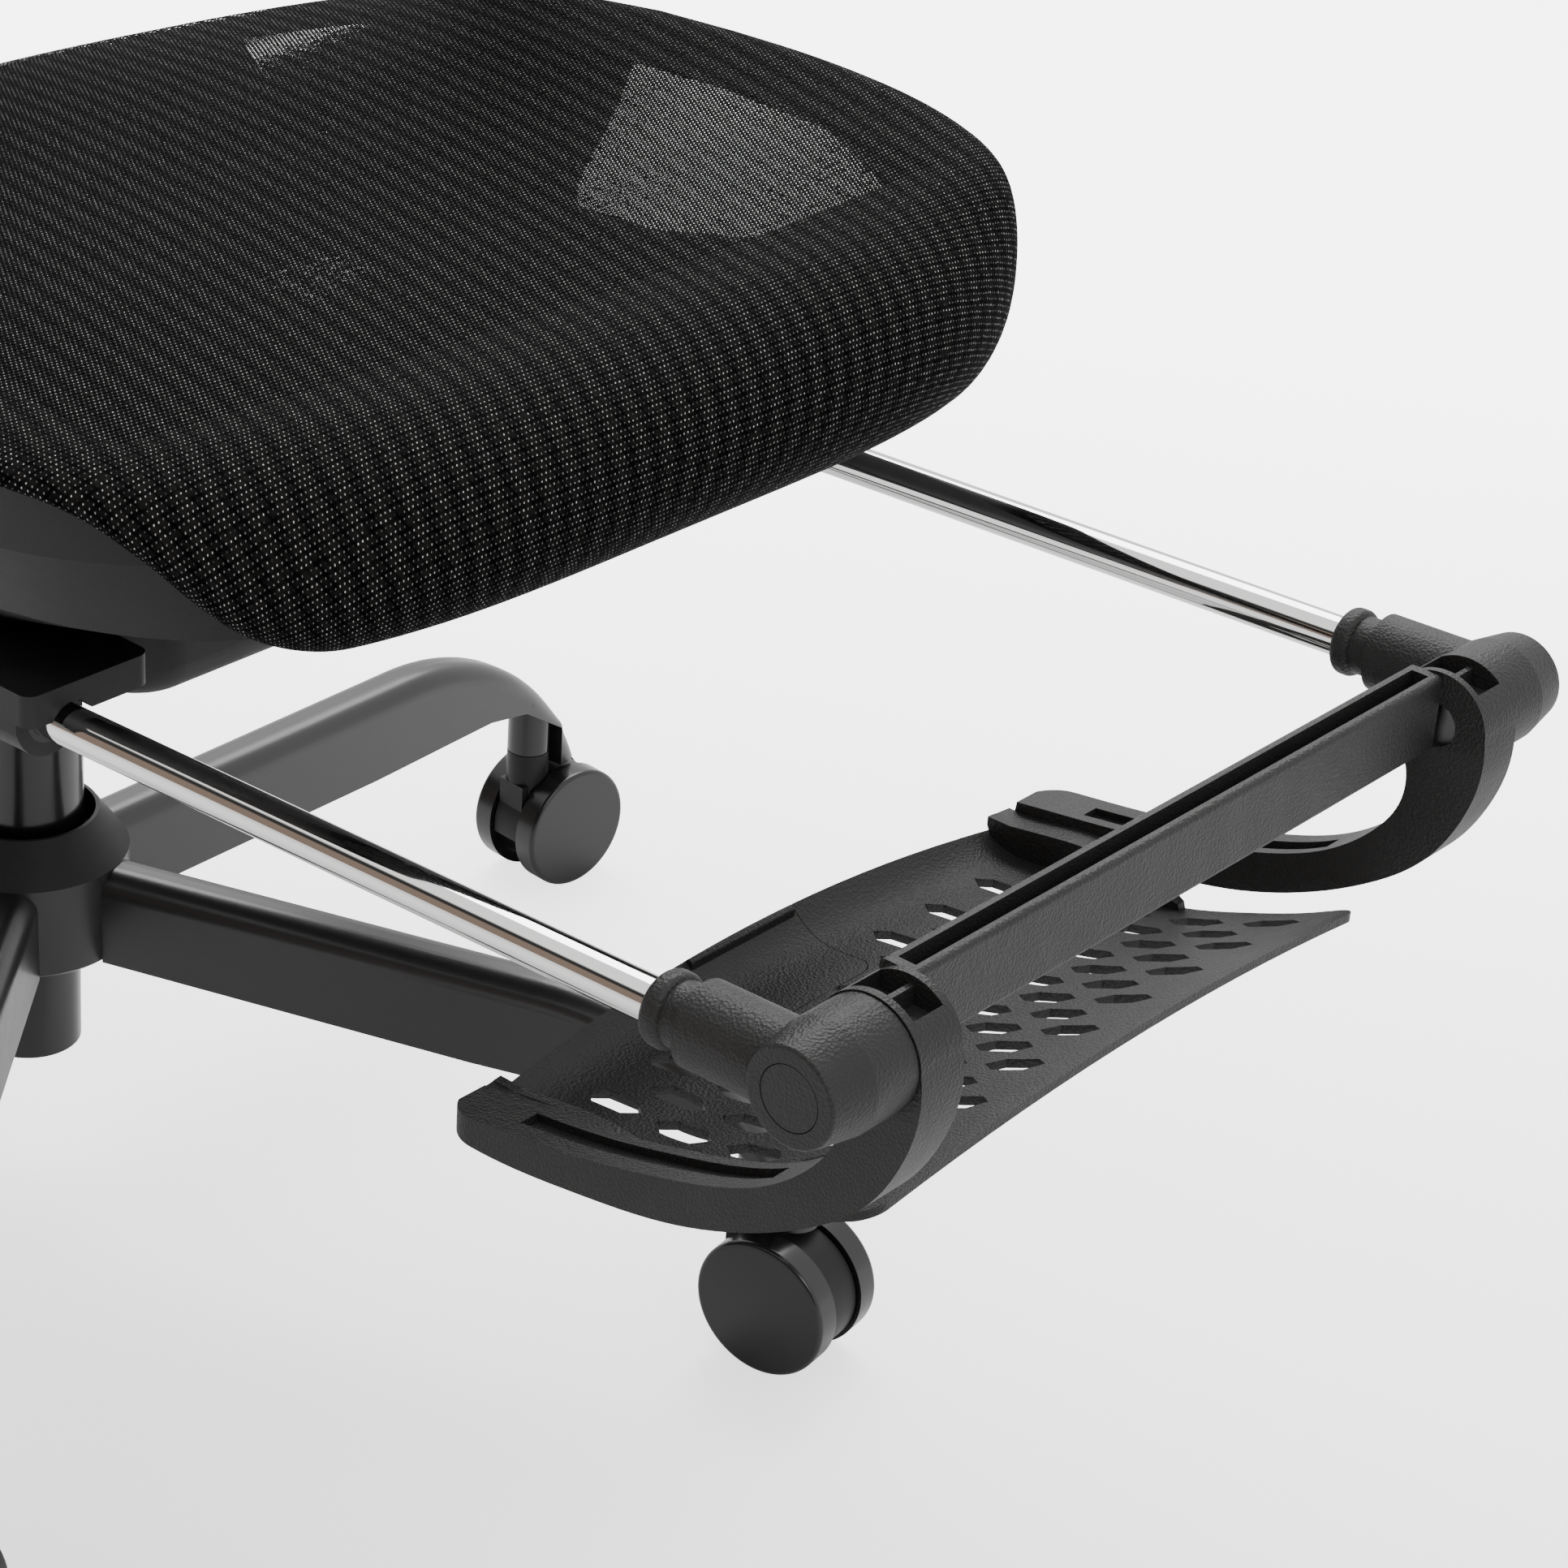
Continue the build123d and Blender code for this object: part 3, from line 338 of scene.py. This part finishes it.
def woven_mesh(name, slot, hole_size=0.37, whole=False):
    """Black basket weave: flat yarn blocks two stitches wide, a clear filament whose glint at each stitch
    is a painted highlight (a grey spot mixed into the base colour) in slanted rows, wide slanted ribs drawn
    only in
    the colour, and a small hole beside each stitch. The yarn's colour carries painted shade and highlight:
    lighter on the block crowns and rib crests, darker at block edges and between ribs. Holes stay off the
    stretched edges unless whole is set."""
    color = shade(COLORS[slot], YARN_SHADE)
    s = Shader(name, color, 0.6, Specular_IOR_Level=0.01)
    uv = s.node("ShaderNodeSeparateXYZ")
    s.link(s.coords("UV"), uv.inputs[0])
    wobble = s.math("MULTIPLY", s.noise(330, 2.0, s.coords("UV")), 0.5)
    v = s.math("ADD", s.math("DIVIDE", uv.outputs["Y"], STITCH), wobble)
    u = s.math("ADD", s.math("DIVIDE", uv.outputs["X"], STITCH * 0.95), s.math("MULTIPLY", v, ROW_SLANT))
    off_u = s.math("SUBTRACT", s.math("FRACT", u), 0.5)
    off_v = s.math("SUBTRACT", s.math("FRACT", v), 0.5)

    block_u, block_v = s.math("MULTIPLY", u, 0.5), s.math("MULTIPLY", v, 0.5)
    edge_u = s.math("ABSOLUTE", s.math("SUBTRACT", s.math("FRACT", block_u), 0.5))
    edge_v = s.math("ABSOLUTE", s.math("SUBTRACT", s.math("FRACT", block_v), 0.5))
    over = s.math("ADD", s.math("FLOOR", block_u), s.math("FLOOR", block_v))
    over = s.math("ABSOLUTE", s.math("MODULO", over, 2.0))
    under = s.math("SUBTRACT", 1.0, over)
    fibre = s.math("ADD", s.math("MULTIPLY", u, over), s.math("MULTIPLY", v, under))
    fibre = s.math("SINE", s.math("MULTIPLY", fibre, 28.0))
    fall_u, fall_v = s.math("MULTIPLY_ADD", over, 1.4, 1.6), s.math("MULTIPLY_ADD", under, 1.4, 1.6)
    crown_u = s.math("MULTIPLY", s.math("MULTIPLY", edge_u, edge_u), fall_u)
    crown_v = s.math("MULTIPLY", s.math("MULTIPLY", edge_v, edge_v), fall_v)
    crown = s.math("ADD", crown_u, crown_v)
    height = s.math("MULTIPLY_ADD", fibre, 0.08, s.math("SUBTRACT", 1.0, crown))

    across, along_run = uv.outputs["X"], uv.outputs["Y"]
    # the ribs are drawn only in the colour, not in the bump: painted shade between them, painted highlight
    # on their crests
    rib = s.math("ADD", s.math("MULTIPLY", across, RIB_ALONG_U), s.math("MULTIPLY", along_run, RIB_ALONG_V))
    rib = s.math("SINE", s.math("MULTIPLY", rib, 2 * math.pi / RIB_STEP))
    along_dot = s.math("ADD", s.math("MULTIPLY", off_u, 0.8), s.math("MULTIPLY", off_v, 0.6))
    cross_dot = s.math("SUBTRACT", s.math("MULTIPLY", off_v, 0.8), s.math("MULTIPLY", off_u, 0.6))
    reach = s.math("ADD", s.math("POWER", s.math("MULTIPLY", s.math("ABSOLUTE", along_dot), 4.4), 2.0),
                   s.math("POWER", s.math("MULTIPLY", s.math("ABSOLUTE", cross_dot), 10.0), 2.0))
    # painted highlight: a noise mask picks which stitches show a painted glint, stronger on the rib crests
    lit = s.math("MAXIMUM", 0.0, s.math("MULTIPLY_ADD", s.noise(420, 1.0, s.coords("UV")), 2.6, -0.8))
    painted_glint = s.math("MULTIPLY", s.math("LESS_THAN", reach, 1.0), lit)
    painted_glint = s.math("MULTIPLY", painted_glint, s.math("MULTIPLY_ADD", rib, 0.4, 0.7))
    # painted shade and highlight: the yarn runs from dark at block edges and between ribs to lighter and
    # warmer on block crowns and rib crests
    depth = s.math("MULTIPLY_ADD", rib, 0.16, s.math("MULTIPLY", height, 0.5))
    lit_yarn = tuple(c * w for c, w in zip(shade(color, 2.0), YARN_WARMTH))
    tone = s.ramp(s.math("MULTIPLY_ADD", s.noise(500, 2.0, s.coords("UV")), 0.4, depth),
                  [(0.2, shade(color, 0.2)), (0.8, lit_yarn)])
    mix = s.node("ShaderNodeMix", data_type="RGBA")
    s.link(painted_glint, mix.inputs["Factor"])
    s.link(tone, mix.inputs[6])
    # the painted glints: a grey spot mixed into the base colour, standing in for the filament's reflection
    mix.inputs[7].default_value = PAINTED_GLINT_COLOR
    s.link(mix.outputs[2], s.bsdf.inputs["Base Color"])
    s.link(s.math("MULTIPLY_ADD", painted_glint, -0.4, 0.62), s.bsdf.inputs["Roughness"])

    side_v = s.math("ABSOLUTE", s.math("SUBTRACT", s.math("FRACT", s.math("ADD", v, 0.5)), 0.5))
    hole = s.math("ADD", s.math("POWER", s.math("MULTIPLY", s.math("ABSOLUTE", off_u), 1.3), 2.0),
                  s.math("POWER", s.math("MULTIPLY", side_v, 2.2), 2.0))
    opened = s.math("LESS_THAN", hole, hole_size * hole_size)
    if not whole:
        place = s.node("ShaderNodeSeparateXYZ")
        s.link(s.coords(), place.inputs[0])
        inside = s.math("LESS_THAN", s.math("ABSOLUTE", place.outputs["X"]), HOLE_REACH_X)
        inside = s.math("MULTIPLY", inside, s.math("GREATER_THAN", place.outputs["Y"], HOLE_FRONT_Y))
        opened = s.math("MULTIPLY", opened, inside)
    s.link(s.math("SUBTRACT", 1.0, opened), s.bsdf.inputs["Alpha"])
    s.bump(height, 0.6, 0.0006)
    return s.material


def sheet_object(name, points, rings, around, uvs, material):
    """A mesh from a centre point and rings of points round it, with a UV in metres for each point."""
    mesh = bpy.data.meshes.new(name)
    faces = [(0, 1 + i, 1 + (i + 1) % around) for i in range(around)]
    for ring in range(rings - 1):
        base = 1 + ring * around
        for i in range(around):
            j = (i + 1) % around
            faces.append((base + i, base + around + i, base + around + j, base + j))
    mesh.from_pydata(points, [], faces)
    layer = mesh.uv_layers.new(name="weave")
    for loop in mesh.loops:
        layer.data[loop.index].uv = uvs[loop.vertex_index]
    mesh.materials.append(material)
    for polygon in mesh.polygons:
        polygon.use_smooth = True
    made = bpy.data.objects.new(name, mesh)
    bpy.context.scene.collection.objects.link(made)
    solid = made.modifiers.new("thickness", "SOLIDIFY")
    solid.thickness = CLOTH_THICKNESS
    solid.offset = -1.0
    return made


# ------------------------------------------------------------ seat cover
SEAT_HALF = 0.2605
SEAT_MID_Y = -0.1305
SEAT_HALF_Y = 0.2425
SEAT_POWER = 3.8
SEAT_SAG = 0.020
HEM_REAR = 0.496
# the cover's top along the middle plane, as (y, z)
CREST = ((-0.373, 0.4985), (-0.340, 0.5015), (-0.312, 0.5035), (-0.255, 0.5090), (-0.190, 0.5110),
         (-0.128, 0.5090), (-0.060, 0.5020), (0.0, 0.4915), (0.060, 0.4755), (0.112, 0.4590))
# the hem across the front, as (distance from the middle, z)
HEM = ((0.0, 0.430), (0.170, 0.430), (0.190, 0.4365), (0.203, 0.446), (0.215, 0.462), (0.228, 0.480),
       (0.238, 0.491), (0.262, 0.496))
ROLL_SHARE = 0.6  # share of the edge rings that roll over; the rest tuck under
TUCK_TURN = math.radians(75)


def along(table, x):
    """Linear reading of a table of (x, value) points."""
    if x <= table[0][0]:
        return table[0][1]
    for (x0, v0), (x1, v1) in zip(table, table[1:]):
        if x <= x1:
            return v0 + (v1 - v0) * (x - x0) / (x1 - x0)
    return table[-1][1]


def smooth_along(table, x, reach):
    return sum(along(table, x + reach * k / 3) for k in range(-3, 4)) / 7


def rounded(value, power):
    """A cosine or sine drawn out towards a rounded rectangle."""
    return math.copysign(abs(value) ** (2 / power), value)


def seat_rim(angle):
    x = SEAT_HALF * rounded(math.cos(angle), SEAT_POWER)
    y = SEAT_MID_Y + SEAT_HALF_Y * rounded(math.sin(angle), SEAT_POWER)
    return x, y


def seat_crest(x, y):
    """Height of the seat's top before its edge rolls over: it sags between the side rails."""
    rise = smooth_along(CREST, y, 0.02)
    reach = max(0.0, 1 - ((y - SEAT_MID_Y) / SEAT_HALF_Y) ** 2)
    return rise - SEAT_SAG * reach * max(0.0, 1 - (x / SEAT_HALF) ** 2) ** 0.8


def edge_profile(t, depth, roll, tuck):
    """Distance inward from the rim and drop below the top, at share t of the rolled edge."""
    if t < ROLL_SHARE:
        turn = math.pi / 2 * t / ROLL_SHARE
        return roll * (1 - math.sin(turn)), 0.65 * depth * (1 - math.cos(turn))
    turn = TUCK_TURN * (t - ROLL_SHARE) / (1 - ROLL_SHARE)
    back = tuck * (1 - math.cos(turn)) / (1 - math.cos(TUCK_TURN))
    return back, 0.65 * depth + 0.35 * depth * math.sin(turn) / math.sin(TUCK_TURN)


def seat_column(angle, flat_rings, edge_rings):
    """The cover's points from near its middle out to the rim, over the edge and down to the hem."""
    x, y = seat_rim(angle)
    hem = smooth_along(HEM, abs(x), 0.008) if y < SEAT_MID_Y else min(HEM_REAR, seat_crest(x, y) - 0.012)
    depth = seat_crest(x, y) - hem
    inward = Vector((-x, (SEAT_MID_Y - y) * 0.9, 0)).normalized()
    roll = 0.015 + 0.60 * depth
    tuck = 0.004 + 0.19 * depth
    start = Vector((x, y, 0)) + inward * roll
    column = []
    for ring in range(flat_rings):
        t = (ring + 1) / flat_rings
        px, py = start.x * t, SEAT_MID_Y + (start.y - SEAT_MID_Y) * t
        column.append((px, py, seat_crest(px, py)))
    for ring in range(edge_rings):
        back, drop = edge_profile((ring + 1) / edge_rings, depth, roll, tuck)
        px, py = x + inward.x * back, y + inward.y * back
        column.append((px, py, seat_crest(px, py) - drop))
    return column


def seat_cover():
    """Points and UVs ring by ring; a UV runs out from the middle by the cloth's own length, in metres."""
    around, flat_rings, edge_rings = 360, 46, 26
    angles = [2 * math.pi * (i + 0.5) / around for i in range(around)]
    columns = [seat_column(angle, flat_rings, edge_rings) for angle in angles]
    points, uvs = [(0.0, SEAT_MID_Y, seat_crest(0, SEAT_MID_Y))], [(0.0, 0.0)]
    for ring in range(flat_rings + edge_rings):
        for i, column in enumerate(columns):
            px, py, pz = column[ring]
            points.append((px, py, pz))
            if ring == 0:
                uvs.append((px, py - SEAT_MID_Y))
                continue
            ox, oy, oz = column[ring - 1]
            stretch = math.hypot(px - ox, py - oy, pz - oz)
            outward = Vector((column[0][0], column[0][1] - SEAT_MID_Y)).normalized()
            ou, ov = uvs[1 + (ring - 1) * around + i]
            uvs.append((ou + outward.x * stretch, ov + outward.y * stretch))
    return points, uvs, flat_rings + edge_rings, around


def build_seat():
    points, uvs, rings, around = seat_cover()
    weave = woven_mesh("seat_weave", "seat_mesh_cloth")
    cover = sheet_object("seat_mesh_cover", points, rings, around, uvs, weave)
    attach(cover, "seat")
    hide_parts("seat_mesh")


# ------------------------------------------------------------ back cover
BACK_POWER = 3.4
BACK_MARGIN = 0.004
BACK_OFFSET = 0.006
BACK_SLICES = 14


def back_profile(low, high):
    """The front of the back mesh as (z, y), read off the CAD solid it replaces."""
    strip = [(v.co.z, v.co.y) for v in NODES["back_mesh"].data.vertices]

    def front_at(z):
        near = [y for zz, y in strip if abs(round(zz, 3) - z) < 0.03]
        return min(near) if near else low.y

    heights = [low.z + (high.z - low.z) * k / BACK_SLICES for k in range(BACK_SLICES + 1)]
    return tuple((z, front_at(z)) for z in heights)


def back_cover():
    low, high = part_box("back_mesh")
    middle_z, half_z = (low.z + high.z) / 2, (high.z - low.z) / 2 + BACK_MARGIN
    half_x = (high.x - low.x) / 2 + BACK_MARGIN
    profile = back_profile(low, high)

    def face(z):
        return smooth_along(profile, z, 0.03) + BACK_OFFSET

    around, rings = 240, 40
    points, uvs = [(0.0, face(middle_z), middle_z)], [(0.0, 0.0)]
    for ring in range(rings):
        t = (ring + 1) / rings
        for i in range(around):
            angle = 2 * math.pi * (i + 0.5) / around
            x = t * half_x * rounded(math.cos(angle), BACK_POWER)
            z = middle_z + t * half_z * rounded(math.sin(angle), BACK_POWER)
            points.append((x, face(z), z))
            uvs.append((x, z - middle_z))
    return points, uvs, rings, around


def build_back():
    points, uvs, rings, around = back_cover()
    weave = woven_mesh("back_weave", "back_mesh_cloth", 0.38, True)
    cover = sheet_object("back_mesh_cover", points, rings, around, uvs, weave)
    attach(cover, "backrest")
    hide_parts("back_mesh")


# ------------------------------------------------------------ soft pads
def cushion(node, body, voxel, passes):
    """The CAD pad's volume as one soft closed form: even small faces, edges drawn in by smoothing."""
    source = NODES[node]
    made = bpy.data.objects.new(node + "_foam", source.data.copy())
    bpy.context.scene.collection.objects.link(made)
    made.matrix_world = source.matrix_world
    remesh = made.modifiers.new("even faces", "REMESH")
    remesh.mode = "VOXEL"
    remesh.voxel_size = voxel
    soften = made.modifiers.new("soften", "SMOOTH")
    soften.factor = 0.5
    soften.iterations = passes
    bpy.context.view_layer.update()
    shaped = made.evaluated_get(bpy.context.evaluated_depsgraph_get())
    mesh = bpy.data.meshes.new_from_object(shaped)
    made.modifiers.clear()
    made.data = mesh
    mesh.materials.clear()
    mesh.materials.append(moulded_plastic(node + "_skin", "soft_pad", 0.6, 1100, 0.35))
    for polygon in mesh.polygons:
        polygon.use_smooth = True
    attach(made, body)
    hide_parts(node)


def build_pads():
    cushion("armrest_pad_right", "armrest_right", 0.003, 14)
    cushion("armrest_pad_left", "armrest_left", 0.003, 14)
    cushion("lumbar_pad", "backrest", 0.0013, 3)


build_camera()
build_studio()
finish_nodes()
build_seat()
build_back()
build_pads()
